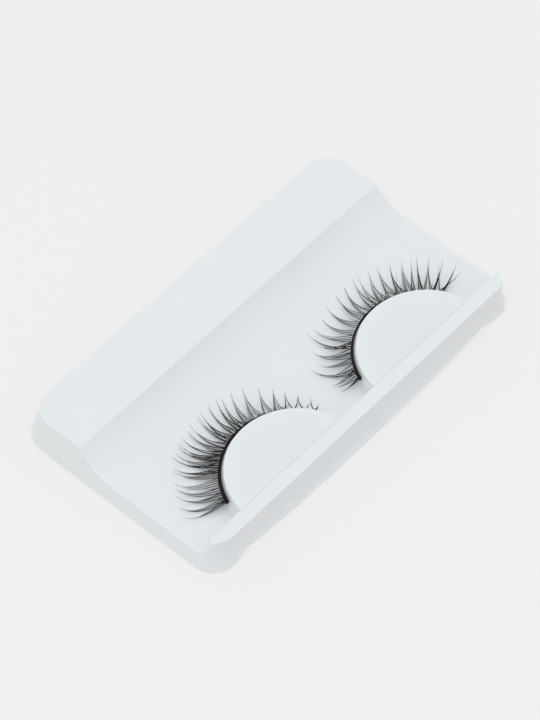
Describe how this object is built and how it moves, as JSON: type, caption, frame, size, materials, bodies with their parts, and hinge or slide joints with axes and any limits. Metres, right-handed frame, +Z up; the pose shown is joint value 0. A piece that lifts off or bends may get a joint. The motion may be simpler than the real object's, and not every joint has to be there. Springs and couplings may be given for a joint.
{
  "type": "false eyelash pair with display tray",
  "caption": "Dark strip eyelashes with fine curled hairs, each stuck round a raised half-moon of a shallow glossy white vacuum-formed tray with a raised platform and a cove along its back.",
  "frame": {"origin": "on the surface that the tray stands on, under the middle of its outline", "axes": "+X along the tray from the left lash to the right lash, +Y from the front ridge to the raised platform at the back, +Z up"},
  "size_m": [0.0978, 0.0568, 0.0099],
  "materials": {
    "white_sheet": "glossy, smooth vacuum-formed polystyrene sheet",
    "band_thread": "matt dark cotton thread with dried glue",
    "lash_hair": "satin near-black synthetic fibre"
  },
  "bodies": {
    "root": {"tray": "white_sheet", "left_band": "band_thread", "left_fringe": "lash_hair", "right_band": "band_thread", "right_fringe": "lash_hair"}
  },
  "joints": []
}
